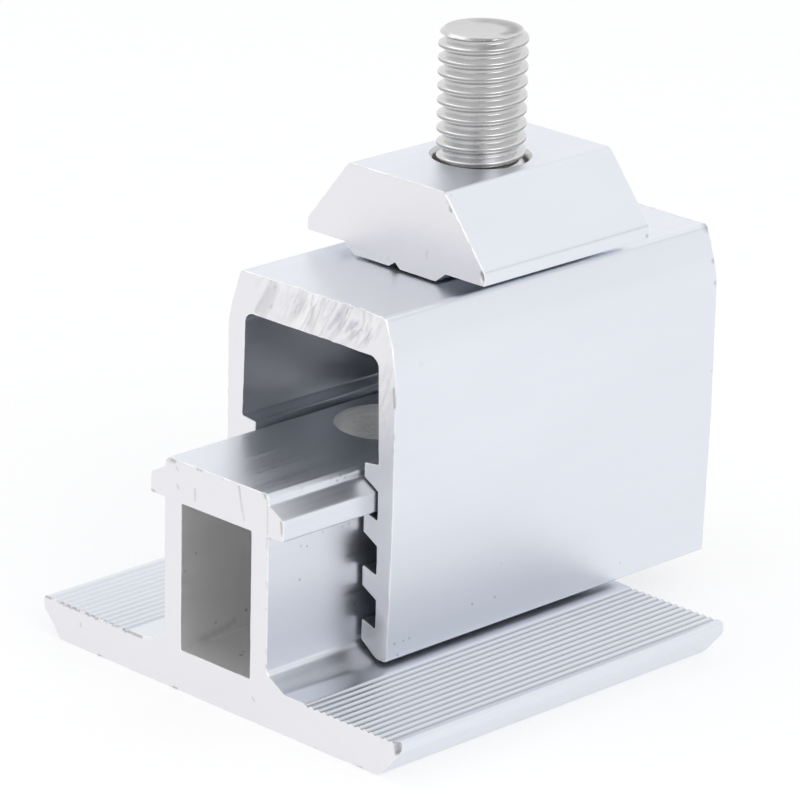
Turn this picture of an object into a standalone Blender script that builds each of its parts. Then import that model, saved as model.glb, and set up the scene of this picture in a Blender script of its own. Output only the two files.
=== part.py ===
"""Solar mid clamp on a height-adjustable riser, as four loose pieces.

base_rail      extruded foot: two ribbed wings, a hollow box section and a lip along each side of the box
riser_channel  extruded upside-down U whose legs carry hooked teeth that catch under the lips
clamp_bolt     M8 cap screw with its head in the channel and its thread pointing up
clamp_cap      extruded wedge-shaped cap that slides on the bolt

Metres, +Z up. X runs across the sections, Y runs along the extrusions, and the origin is the middle of
the base's sole. The channel sits slid back along the base, as in use while it is being placed.
"""

import math

import bmesh
import bpy
from mathutils import Matrix, Vector

MM = 0.001

# Clearances between the pieces
SEAT_GAP = 0.2 * MM
LIP_SIDE_PLAY = 0.2 * MM
TOOTH_SIDE_PLAY = 0.35 * MM
LIP_UNDER_PLAY = 0.2 * MM
FOOT_GAP = 0.35 * MM
HOLE_PLAY = 1.15 * MM

# Base rail
BASE_LENGTH = 40.0 * MM
WING_SPAN = 44.0 * MM
SOLE_WIDTH = 39.6 * MM
WING_THICKNESS = 3.6 * MM
TIP_HEIGHT = 1.1 * MM
RIB_PITCH = 0.8 * MM
RIB_COUNT = 13
RIB_DEPTH = 0.2 * MM
TIP_STRIP = 0.7 * MM
FOOT_RAMP_WIDTH = 2.25 * MM
FOOT_RAMP_HEIGHT = 1.25 * MM
HOLLOW_WIDTH = 8.6 * MM
HOLLOW_HEIGHT = 13.3 * MM
FLOOR_THICKNESS = 3.8 * MM
BOX_WALL = 2.05 * MM
BOX_ROOF = 3.75 * MM
BOX_EDGE_BREAK = 0.35 * MM
LIP_REACH = 1.8 * MM
LIP_FACE = 1.85 * MM
LIP_DROP = 3.7 * MM
LIP_ROOT_DROP = 0.9 * MM

# Riser channel
CHANNEL_LENGTH = 40.0 * MM
CHANNEL_SLIDE = 10.7 * MM
LEG_WALL = 1.85 * MM
LEG_DRAFT = 0.37 * MM
DRAFT_HEIGHT = 13.0 * MM
WEB_THICKNESS = 3.65 * MM
SHOULDER_DROP = 4.3 * MM
SHOULDER_INSET = 1.44 * MM
SHOULDER_RADIUS = 10.0 * MM
CROWN_RADIUS = 0.5 * MM
CAVITY_TAPER = 0.25 * MM
CAVITY_CORNER = 1.0 * MM
TOOTH_PITCH = 4.9 * MM
TOOTH_SLANT = 0.9 * MM
BARB_RISE = 0.5 * MM
SHELF_HEIGHT = 1.3 * MM
SHELF_SLANT = 0.2 * MM
FOOT_RISE = 0.1 * MM
MIN_FOOT = 1.0 * MM

# Bolt
THREAD_DIAMETER = 7.85 * MM
THREAD_LENGTH = 25.0 * MM
POINT_CHAMFER = 0.5 * MM
HEAD_DIAMETER = 13.0 * MM
HEAD_HEIGHT = 8.0 * MM
HEAD_CHAMFER = 0.7 * MM
HEAD_FILLET = 0.4 * MM
HEAD_LIFT = 1.8 * MM
SOCKET_FLATS = 6.0 * MM
SOCKET_DEPTH = 4.0 * MM

# Cap
CAP_LENGTH = 20.5 * MM
CAP_WIDTH = 21.4 * MM
CAP_TOP_WIDTH = 11.5 * MM
CAP_HEIGHT = 7.2 * MM
CAP_EDGE = 1.15 * MM
CAP_LAND_WIDTH = 9.9 * MM
CAP_LAND_DROP = 0.9 * MM
CAP_STEP_RUN = 1.15 * MM
CAP_GROOVE_WIDTH = 1.4 * MM
CAP_GROOVE_DEPTH = 0.47 * MM
CAP_ROUND = 0.6 * MM
CAP_HOLE_PLAY = 0.65 * MM
CAP_COUNTERSINK = 0.5 * MM

# Roundings shared by the extrusions
FINE_ROUND = 0.15 * MM
SOFT_ROUND = 0.35 * MM
ARC_STEP = math.radians(18)
ROUND_SEGMENTS = 64

# Places worked out from the sizes
HOLE_DIAMETER = THREAD_DIAMETER + HOLE_PLAY
BOX_HALF = HOLLOW_WIDTH / 2 + BOX_WALL
BOX_TOP = FLOOR_THICKNESS + HOLLOW_HEIGHT + BOX_ROOF
LIP_HALF = BOX_HALF + LIP_REACH
LIP_UNDERSIDE = BOX_TOP - LIP_DROP
LIP_FACE_TOP = LIP_UNDERSIDE + LIP_FACE
LIP_ROOT = BOX_TOP - LIP_ROOT_DROP
CAVITY_HALF = LIP_HALF + LIP_SIDE_PLAY
TOOTH_TIP = BOX_HALF + TOOTH_SIDE_PLAY
CAVITY_ROOF = BOX_TOP + SEAT_GAP + HEAD_HEIGHT + HEAD_LIFT
CHANNEL_TOP = CAVITY_ROOF + WEB_THICKNESS
CHANNEL_FOOT = WING_THICKNESS + FOOT_GAP
HEAD_BASE = BOX_TOP + SEAT_GAP
CAP_UNDERSIDE = CHANNEL_TOP + SEAT_GAP + CAP_LAND_DROP


def clear_scene():
    for old in list(bpy.data.objects):
        bpy.data.objects.remove(old, do_unlink=True)


def new_collection(name):
    collection = bpy.data.collections.new(name)
    bpy.context.scene.collection.children.link(collection)
    return collection


def metal(name, colour, roughness):
    material = bpy.data.materials.new(name)
    material.use_nodes = True
    shader = material.node_tree.nodes["Principled BSDF"]
    shader.inputs["Base Color"].default_value = (*colour, 1.0)
    shader.inputs["Metallic"].default_value = 1.0
    shader.inputs["Roughness"].default_value = roughness
    material.diffuse_color = (*colour, 1.0)
    return material


def rounded(corners):
    """Outline points through corners (x, z, radius); a radius above zero becomes an arc tangent to both sides.

    Where two arcs would need more than the side between them, both shrink to share it.
    """
    count = len(corners)
    places = [Vector((x, z)) for x, z, radius in corners]
    sides = [places[(index + 1) % count] - places[index] for index in range(count)]
    half_angles = [(-sides[index - 1]).angle(sides[index]) / 2 for index in range(count)]
    tangents = [corner[2] / math.tan(half) for corner, half in zip(corners, half_angles)]
    shares = [1.0] * count
    for index in range(count):
        following = (index + 1) % count
        needed = tangents[index] + tangents[following]
        if needed > sides[index].length:
            share = 0.98 * sides[index].length / needed
            shares[index] = min(shares[index], share)
            shares[following] = min(shares[following], share)

    points = []
    for index, corner in enumerate(places):
        tangent = tangents[index] * shares[index]
        if tangent == 0:
            points.append(corner)
            continue
        before = -sides[index - 1].normalized()
        after = sides[index].normalized()
        centre = corner + (before + after).normalized() * tangent / math.cos(half_angles[index])
        start = corner + before * tangent - centre
        turn = start.angle_signed(corner + after * tangent - centre)
        steps = max(1, math.ceil(abs(turn) / ARC_STEP))
        for step in range(steps + 1):
            points.append(centre + Matrix.Rotation(-turn * step / steps, 2) @ start)
    return points


def extrusion(name, half_section, length, collection, material):
    """Solid of a symmetric section in the XZ plane, centred on Y = 0.

    Only the right half is drawn, left open at the middle for the mirror to close. It is drawn a thousand
    times full size, so that the fill resolves its fine ribs and roundings.
    """
    curve = bpy.data.curves.new(name + "_section", "CURVE")
    curve.dimensions = "2D"
    curve.fill_mode = "BOTH"
    curve.extrude = length / 2 / MM
    spline = curve.splines.new("POLY")
    spline.points.add(len(half_section) - 1)
    spline.use_cyclic_u = True
    for point, (x, z) in zip(spline.points, half_section):
        point.co = (x / MM, z / MM, 0.0, 1.0)
    drawn = bpy.data.objects.new(name + "_drawn", curve)
    bpy.context.scene.collection.objects.link(drawn)
    evaluated = drawn.evaluated_get(bpy.context.evaluated_depsgraph_get())
    mesh = bpy.data.meshes.new_from_object(evaluated)
    mesh.name = name
    bpy.data.objects.remove(drawn, do_unlink=True)

    welded = bmesh.new()
    welded.from_mesh(mesh)
    bmesh.ops.remove_doubles(welded, verts=welded.verts, dist=0.001)
    middle = [face for face in welded.faces if all(abs(corner.co.x) < 0.001 for corner in face.verts)]
    bmesh.ops.delete(welded, geom=middle, context="FACES")
    upright = Matrix.Rotation(math.pi / 2, 4, "X") @ Matrix.Scale(MM, 4)
    bmesh.ops.transform(welded, matrix=upright, verts=welded.verts)
    bmesh.ops.recalc_face_normals(welded, faces=welded.faces)
    welded.to_mesh(mesh)
    welded.free()

    mesh.shade_smooth()
    mesh.set_sharp_from_angle(angle=math.radians(25))
    mesh.materials.clear()
    mesh.materials.append(material)
    piece = bpy.data.objects.new(name, mesh)
    collection.objects.link(piece)
    other_half = piece.modifiers.new("other_half", "MIRROR")
    other_half.use_axis = (True, False, False)
    other_half.use_mirror_merge = True
    other_half.merge_threshold = 0.001 * MM
    return piece


def cut(piece, cutter, collection):
    """Boolean difference of the piece with a cutter that moves with it."""
    cutter.parent = piece
    cutter.hide_render = True
    cutter.display_type = "WIRE"
    for holder in list(cutter.users_collection):
        holder.objects.unlink(cutter)
    collection.objects.link(cutter)
    difference = piece.modifiers.new("cut_" + cutter.name, "BOOLEAN")
    difference.operation = "DIFFERENCE"
    difference.solver = "EXACT"
    difference.object = cutter


def prism_cutter(name, sides, radius, z_low, z_high, collection, flare=0.0):
    """Upright prism that widens by the flare from bottom to top, used as a drill, a broach or a countersink."""
    shape = bmesh.new()
    bmesh.ops.create_cone(
        shape,
        cap_ends=True,
        segments=sides,
        radius1=radius,
        radius2=radius + flare,
        depth=z_high - z_low,
        matrix=Matrix.Translation((0, 0, (z_low + z_high) / 2)),
    )
    mesh = bpy.data.meshes.new(name)
    shape.to_mesh(mesh)
    shape.free()
    mesh.shade_smooth()
    mesh.set_sharp_from_angle(angle=math.radians(40))
    cutter = bpy.data.objects.new(name, mesh)
    collection.objects.link(cutter)
    return cutter


def ribs():
    """Zigzag of V grooves on top of the right wing, from the tip inward."""
    outer = WING_SPAN / 2 - TIP_STRIP
    run = [(outer, WING_THICKNESS, 0)]
    for index in range(RIB_COUNT):
        run.append((outer - (index + 0.5) * RIB_PITCH, WING_THICKNESS - RIB_DEPTH, 0))
        run.append((outer - (index + 1) * RIB_PITCH, WING_THICKNESS, 0))
    return run


def build_base(collection, cutters, material):
    tip_low = WING_THICKNESS - TIP_HEIGHT
    hollow_top = FLOOR_THICKNESS + HOLLOW_HEIGHT
    section = [
        (0, 0, 0),
        (SOLE_WIDTH / 2, 0, 2.5 * SOFT_ROUND),
        (WING_SPAN / 2, tip_low, 2 * SOFT_ROUND),
        (WING_SPAN / 2, WING_THICKNESS, SOFT_ROUND),
        *ribs(),
        (BOX_HALF + FOOT_RAMP_WIDTH, WING_THICKNESS, 4 * SOFT_ROUND),
        (BOX_HALF, WING_THICKNESS + FOOT_RAMP_HEIGHT, 2 * SOFT_ROUND),
        (BOX_HALF, LIP_UNDERSIDE, FINE_ROUND),
        (LIP_HALF, LIP_UNDERSIDE, FINE_ROUND),
        (LIP_HALF, LIP_FACE_TOP, FINE_ROUND),
        (BOX_HALF, LIP_ROOT, FINE_ROUND),
        (BOX_HALF, BOX_TOP - BOX_EDGE_BREAK, FINE_ROUND),
        (BOX_HALF - BOX_EDGE_BREAK, BOX_TOP, FINE_ROUND),
        (0, BOX_TOP, 0),
        (0, hollow_top, 0),
        (HOLLOW_WIDTH / 2, hollow_top, FINE_ROUND),
        (HOLLOW_WIDTH / 2, FLOOR_THICKNESS, FINE_ROUND),
        (0, FLOOR_THICKNESS, 0),
    ]
    base = extrusion("base_rail", rounded(section), BASE_LENGTH, collection, material)
    roof_middle = BOX_TOP - BOX_ROOF / 2
    drill = prism_cutter(
        "box_hole_drill",
        ROUND_SEGMENTS,
        HOLE_DIAMETER / 2,
        roof_middle - BOX_ROOF,
        roof_middle + BOX_ROOF,
        cutters,
    )
    cut(base, drill, cutters)
    return base


def lip_slope_height(x):
    """Height of the lip's sloping top over a distance x from the middle: a straight line down from its root."""
    fall = (LIP_ROOT - LIP_FACE_TOP) / (LIP_HALF - BOX_HALF)
    return LIP_ROOT - (x - BOX_HALF) * fall


def teeth():
    """Inner face of the right leg, from the shelf on top of the first tooth down to the foot.

    The first tooth hangs on the lip's slope. The space below it takes the lip, and each tooth after it is a
    hook whose top rises to its tip. There are as many teeth as the leg has room for, one pitch apart.
    """
    first_tip = lip_slope_height(TOOTH_TIP) + SEAT_GAP
    lip_space = first_tip - LIP_UNDERSIDE + LIP_UNDER_PLAY
    run = [
        (CAVITY_HALF, first_tip + SHELF_HEIGHT + SHELF_SLANT, FINE_ROUND),
        (TOOTH_TIP, first_tip + SHELF_HEIGHT, FINE_ROUND),
    ]
    count = 1 + math.floor((first_tip - CHANNEL_FOOT - MIN_FOOT) / TOOTH_PITCH)
    for index in range(count):
        tip = first_tip - index * TOOTH_PITCH
        if index > 0:
            hook_top = tip + TOOTH_PITCH - lip_space
            run.append((CAVITY_HALF, hook_top - BARB_RISE, FINE_ROUND))
            run.append((TOOTH_TIP, hook_top, FINE_ROUND))
        last = index == count - 1
        run.append((TOOTH_TIP, tip, FINE_ROUND))
        run.append((CAVITY_HALF, CHANNEL_FOOT + FOOT_RISE if last else tip - TOOTH_SLANT, FINE_ROUND))
    return run


def build_channel(collection, cutters, material):
    outer_half = CAVITY_HALF + LEG_WALL
    leg_end = (CAVITY_HALF + outer_half) / 2
    section = [
        (0, CAVITY_ROOF, 0),
        (CAVITY_HALF - CAVITY_TAPER, CAVITY_ROOF, CAVITY_CORNER),
        *teeth(),
        (leg_end - LEG_WALL / 4, CHANNEL_FOOT, FINE_ROUND),
        (outer_half - LEG_DRAFT, CHANNEL_FOOT, SOFT_ROUND),
        (outer_half, CHANNEL_FOOT + DRAFT_HEIGHT, 0),
        (outer_half, CHANNEL_TOP - SHOULDER_DROP, SHOULDER_RADIUS),
        (outer_half - SHOULDER_INSET, CHANNEL_TOP, CROWN_RADIUS),
        (0, CHANNEL_TOP, 0),
    ]
    channel = extrusion("riser_channel", rounded(section), CHANNEL_LENGTH, collection, material)
    channel.location.y = CHANNEL_SLIDE
    drill = prism_cutter(
        "web_hole_drill",
        ROUND_SEGMENTS,
        HOLE_DIAMETER / 2,
        CAVITY_ROOF - WEB_THICKNESS / 2,
        CHANNEL_TOP + WEB_THICKNESS / 2,
        cutters,
    )
    cut(channel, drill, cutters)
    return channel


def build_bolt(collection, cutters, material):
    """Cap screw turned from one profile, head down, with a hexagon socket broached into the head."""
    thread_radius = THREAD_DIAMETER / 2
    head_radius = HEAD_DIAMETER / 2
    seat = HEAD_BASE + HEAD_HEIGHT
    point = seat + THREAD_LENGTH
    profile = [
        (0, point),
        (thread_radius - POINT_CHAMFER, point),
        (thread_radius, point - POINT_CHAMFER),
        (thread_radius, seat + HEAD_FILLET),
        (thread_radius + HEAD_FILLET, seat),
        (head_radius - HEAD_FILLET / 2, seat),
        (head_radius, seat - HEAD_FILLET / 2),
        (head_radius, HEAD_BASE + HEAD_CHAMFER),
        (head_radius - HEAD_CHAMFER, HEAD_BASE),
        (0, HEAD_BASE),
    ]
    mesh = bpy.data.meshes.new("clamp_bolt")
    edges = [(index, index + 1) for index in range(len(profile) - 1)]
    mesh.from_pydata([(x, 0, z) for x, z in profile], edges, [])
    mesh.materials.append(material)
    bolt = bpy.data.objects.new("clamp_bolt", mesh)
    collection.objects.link(bolt)
    turned = bolt.modifiers.new("turned", "SCREW")
    turned.axis = "Z"
    turned.steps = ROUND_SEGMENTS
    turned.render_steps = ROUND_SEGMENTS
    turned.use_merge_vertices = True
    turned.merge_threshold = 0.001 * MM
    turned.use_smooth_shade = True

    across_corners = SOCKET_FLATS / math.cos(math.pi / 6)
    broach = prism_cutter(
        "socket_broach",
        6,
        across_corners / 2,
        HEAD_BASE - SOCKET_DEPTH / 2,
        HEAD_BASE + SOCKET_DEPTH,
        cutters,
    )
    cut(bolt, broach, cutters)
    return bolt


def build_cap(collection, cutters, material):
    half_width = CAP_WIDTH / 2
    land_half = CAP_LAND_WIDTH / 2
    groove_half = CAP_GROOVE_WIDTH / 2
    land = CAP_UNDERSIDE - CAP_LAND_DROP
    top = CAP_UNDERSIDE + CAP_HEIGHT
    section = [
        (0, land + CAP_GROOVE_DEPTH, 0),
        (groove_half, land, 0),
        (land_half, land, FINE_ROUND),
        (land_half + CAP_STEP_RUN, CAP_UNDERSIDE, SOFT_ROUND),
        (half_width, CAP_UNDERSIDE, FINE_ROUND),
        (half_width, CAP_UNDERSIDE + CAP_EDGE, CAP_ROUND),
        (CAP_TOP_WIDTH / 2, top, CAP_ROUND),
        (0, top, 0),
    ]
    cap = extrusion("clamp_cap", rounded(section), CAP_LENGTH, collection, material)
    hole_radius = (THREAD_DIAMETER + CAP_HOLE_PLAY) / 2
    drill = prism_cutter(
        "cap_hole_drill",
        ROUND_SEGMENTS,
        hole_radius,
        land - CAP_LAND_DROP,
        top + CAP_LAND_DROP,
        cutters,
    )
    cut(cap, drill, cutters)
    # The countersink starts inside the hole, meets its wall one depth down and runs out above the top
    countersink = prism_cutter(
        "cap_hole_countersink",
        ROUND_SEGMENTS,
        hole_radius - CAP_COUNTERSINK / 2,
        top - 1.5 * CAP_COUNTERSINK,
        top + CAP_COUNTERSINK / 2,
        cutters,
        flare=2 * CAP_COUNTERSINK,
    )
    cut(cap, countersink, cutters)
    return cap


def build():
    clear_scene()
    pieces = new_collection("solar_mid_clamp")
    cutters = new_collection("cutters")
    base = build_base(pieces, cutters, metal("base_aluminium", (0.80, 0.81, 0.84), 0.34))
    channel = build_channel(pieces, cutters, metal("channel_aluminium", (0.82, 0.83, 0.86), 0.36))
    bolt = build_bolt(pieces, cutters, metal("bolt_stainless", (0.62, 0.62, 0.61), 0.25))
    cap = build_cap(pieces, cutters, metal("cap_aluminium", (0.83, 0.84, 0.87), 0.32))

    # The channel slides on the base, the bolt turns in the channel and the cap slides on the bolt
    channel.parent = base
    bolt.parent = channel
    cap.parent = bolt


build()
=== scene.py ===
import math

import bmesh
import bpy
import numpy as np
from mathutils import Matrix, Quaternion, Vector
from mathutils.geometry import delaunay_2d_cdt


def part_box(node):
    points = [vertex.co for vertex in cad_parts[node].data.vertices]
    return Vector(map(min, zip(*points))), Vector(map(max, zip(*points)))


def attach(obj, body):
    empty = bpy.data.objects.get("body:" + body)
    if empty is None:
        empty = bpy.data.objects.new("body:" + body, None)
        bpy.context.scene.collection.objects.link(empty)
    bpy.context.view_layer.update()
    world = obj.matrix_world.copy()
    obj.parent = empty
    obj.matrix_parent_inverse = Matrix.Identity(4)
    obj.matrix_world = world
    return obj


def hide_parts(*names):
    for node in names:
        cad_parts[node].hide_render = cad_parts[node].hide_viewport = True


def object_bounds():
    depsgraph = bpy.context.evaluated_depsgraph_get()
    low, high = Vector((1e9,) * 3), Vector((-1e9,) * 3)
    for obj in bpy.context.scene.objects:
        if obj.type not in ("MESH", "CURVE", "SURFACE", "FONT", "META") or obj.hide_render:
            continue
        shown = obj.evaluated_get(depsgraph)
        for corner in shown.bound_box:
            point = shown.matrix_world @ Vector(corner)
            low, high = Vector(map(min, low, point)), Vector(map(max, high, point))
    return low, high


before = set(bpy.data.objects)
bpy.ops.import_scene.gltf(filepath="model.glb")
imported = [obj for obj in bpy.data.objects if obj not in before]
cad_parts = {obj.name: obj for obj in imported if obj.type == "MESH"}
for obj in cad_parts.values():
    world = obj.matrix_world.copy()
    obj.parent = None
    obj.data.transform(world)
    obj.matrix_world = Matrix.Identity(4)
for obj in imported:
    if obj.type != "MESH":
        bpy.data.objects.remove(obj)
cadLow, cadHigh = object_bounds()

# Outlines are drawn in millimetres and scaled by mm on their way into a mesh
mm = 0.001

# Studio
studio = {
    "floorSize": 4.0,
    "floorColour": (0.975, 0.975, 0.98),
    "floorRoughness": 0.9,
    "floorGlow": 0.55,  # share of plain white light in the floor, as the camera and metal see it
    "floorWhite": 1.1,
    "skyStrength": 0.76,
    "skyColour": (0.97, 0.98, 1.0),
    # How bright metal finds the backdrop's sides and its ceiling
    "sideGloss": 1.02,
    "ceilingGloss": 0.5,
    "ceilingReach": (0.8, 0.99),  # heights on a unit sky between which the sides turn into the ceiling
    "screens": [
        # Soft grey screens: azimuth, elevation, degrees from the middle to where each is darkest and gone,
        # brightness
        (45, 20, 12, 36, 0.47), (135, 22, 3, 13, 0.5), (-45, 19, 8, 30, 0.8),
    ],
    "lamps": [
        # name, azimuth, elevation, distance, width, power
        ("keyLamp", 80, 38, 0.60, 0.45, 0.8),
        ("leftLamp", -75, 55, 0.65, 0.50, 0.4),
    ],
}

camera = {
    "azimuth": 44.82,
    "elevation": 19.44,
    "roll": 1.29,
    "distance": 431.65 * mm,
    "lookAt": (-1.864 * mm, 3.400 * mm, 21.567 * mm),
    "focalLength": 223.74,
    "clip": (0.01, 20),
}


# Unit vector from the object towards a place seen at that azimuth and elevation, in degrees. The azimuth goes
# round from the -Y side to the +X side.
def directionTo(azimuth, elevation):
    turn, rise = math.radians(azimuth), math.radians(elevation)
    return Vector((math.sin(turn) * math.cos(rise), -math.cos(turn) * math.cos(rise), math.sin(rise)))


# A new node with its settings. Each input, by name or number, gets a value or the socket that feeds it.
def addNode(tree, kind, inputs, **settings):
    made = tree.nodes.new("ShaderNode" + kind)
    for name, setting in settings.items():
        setattr(made, name, setting)
    for name, given in inputs.items():
        if isinstance(given, bpy.types.NodeSocket):
            tree.links.new(given, made.inputs[name])
        else:
            made.inputs[name].default_value = given
    return made


# A factor carried from one reach of values to another
def remapped(tree, fac, before, after, blending="LINEAR"):
    inputs = dict(zip(("From Min", "From Max", "To Min", "To Max"), (*before, *after)))
    return addNode(tree, "MapRange", {"Value": fac, **inputs}, interpolation_type=blending).outputs["Result"]


def newMaterial(name, colour, roughness, metallic=1.0):
    made = bpy.data.materials.new(name)
    made.use_nodes = True
    shader = made.node_tree.nodes["Principled BSDF"]
    shader.inputs["Base Color"].default_value = (*colour, 1)
    shader.inputs["Metallic"].default_value = metallic
    shader.inputs["Roughness"].default_value = roughness
    return made, made.node_tree, shader


# 1 on the rays by which metal or glass mirrors its surroundings
def mirroredRays(tree, rays):
    inputs = {0: rays["Is Glossy Ray"], 1: rays["Is Transmission Ray"]}
    return addNode(tree, "Math", inputs, operation="MAXIMUM").outputs[0]


def makeFloor(s):
    half = s["floorSize"] / 2
    corners = [(-half, -half, 0), (half, -half, 0), (half, half, 0), (-half, half, 0)]
    floorMesh = bpy.data.meshes.new("studioFloor")
    floorMesh.from_pydata(corners, [], [(0, 1, 2, 3)])
    floor = bpy.data.objects.new("studioFloor", floorMesh)
    bpy.context.scene.collection.objects.link(floor)
    floorMaterial, tree, shader = newMaterial("paleFloor", s["floorColour"], s["floorRoughness"], 0.0)
    rays = addNode(tree, "LightPath", {}).outputs
    seen = addNode(tree, "Math", {0: rays["Is Camera Ray"], 1: mirroredRays(tree, rays)}, operation="MAXIMUM")
    share = addNode(tree, "Math", {0: seen.outputs[0], 1: s["floorGlow"]}, operation="MULTIPLY")
    white = addNode(tree, "Emission", {"Strength": s["floorWhite"]})
    mixed = addNode(tree, "MixShader", {0: share.outputs[0], 1: shader.outputs[0], 2: white.outputs[0]})
    tree.links.new(mixed.outputs[0], tree.nodes["Material Output"].inputs["Surface"])
    floorMesh.materials.append(floorMaterial)


# The sky lights the scene evenly, while the camera sees it white. Metal sees bright sides, a grey ceiling and
# the soft screens.
def makeSky(s):
    world = bpy.data.worlds.new("studioSky")
    bpy.context.scene.world = world
    world.use_nodes = True
    tree = world.node_tree
    tree.nodes.clear()
    rays = addNode(tree, "LightPath", {}).outputs
    direction = addNode(tree, "TexCoord", {}).outputs["Generated"]
    height = addNode(tree, "SeparateXYZ", {0: direction}).outputs["Z"]
    graded = remapped(tree, height, s["ceilingReach"], (s["sideGloss"], s["ceilingGloss"]), "SMOOTHSTEP")
    for azimuth, elevation, near, far, gloss in s["screens"]:
        inputs = {0: direction, 1: directionTo(azimuth, elevation)}
        towards = addNode(tree, "VectorMath", inputs, operation="DOT_PRODUCT").outputs["Value"]
        reach = math.cos(math.radians(far)), math.cos(math.radians(near))
        screen = remapped(tree, towards, reach, (1, gloss), "SMOOTHSTEP")
        graded = addNode(tree, "Math", {0: graded, 1: screen}, operation="MULTIPLY").outputs[0]

    sky = addNode(tree, "Background", {"Color": (*s["skyColour"], 1), "Strength": s["skyStrength"]})
    mirrored = addNode(tree, "Background", {"Color": (1, 1, 1, 1), "Strength": graded})
    white = addNode(tree, "Background", {"Color": (1, 1, 1, 1), "Strength": 1.0})
    forMetal = addNode(
        tree, "MixShader", {0: mirroredRays(tree, rays), 1: sky.outputs[0], 2: mirrored.outputs[0]}
    )
    forCamera = addNode(
        tree, "MixShader", {0: rays["Is Camera Ray"], 1: forMetal.outputs[0], 2: white.outputs[0]}
    )
    addNode(tree, "OutputWorld", {0: forCamera.outputs[0]})


def makeLamps(s):
    centre = (cadLow + cadHigh) / 2
    for name, azimuth, elevation, distance, width, power in s["lamps"]:
        light = bpy.data.lights.new(name, "AREA")
        light.shape = "DISK"
        light.size = width
        light.energy = power
        lamp = bpy.data.objects.new(name, light)
        lamp.location = centre + directionTo(azimuth, elevation) * distance
        lamp.rotation_mode = "QUATERNION"
        lamp.rotation_quaternion = (centre - lamp.location).to_track_quat("-Z", "Y")
        bpy.context.scene.collection.objects.link(lamp)


def makeCamera(s):
    lens = bpy.data.cameras.new("photoCamera")
    lens.lens = s["focalLength"]
    lens.clip_start, lens.clip_end = s["clip"]
    view = bpy.data.objects.new("photoCamera", lens)
    toCamera = directionTo(s["azimuth"], s["elevation"])
    view.location = Vector(s["lookAt"]) + toCamera * s["distance"]
    level = (-toCamera).to_track_quat("-Z", "Y")
    view.rotation_mode = "QUATERNION"
    view.rotation_quaternion = level @ Quaternion((0, 0, 1), math.radians(s["roll"]))
    bpy.context.scene.collection.objects.link(view)
    bpy.context.scene.camera = view


makeFloor(studio)
makeSky(studio)
makeLamps(studio)
makeCamera(camera)
print("studio and camera are set")


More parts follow.
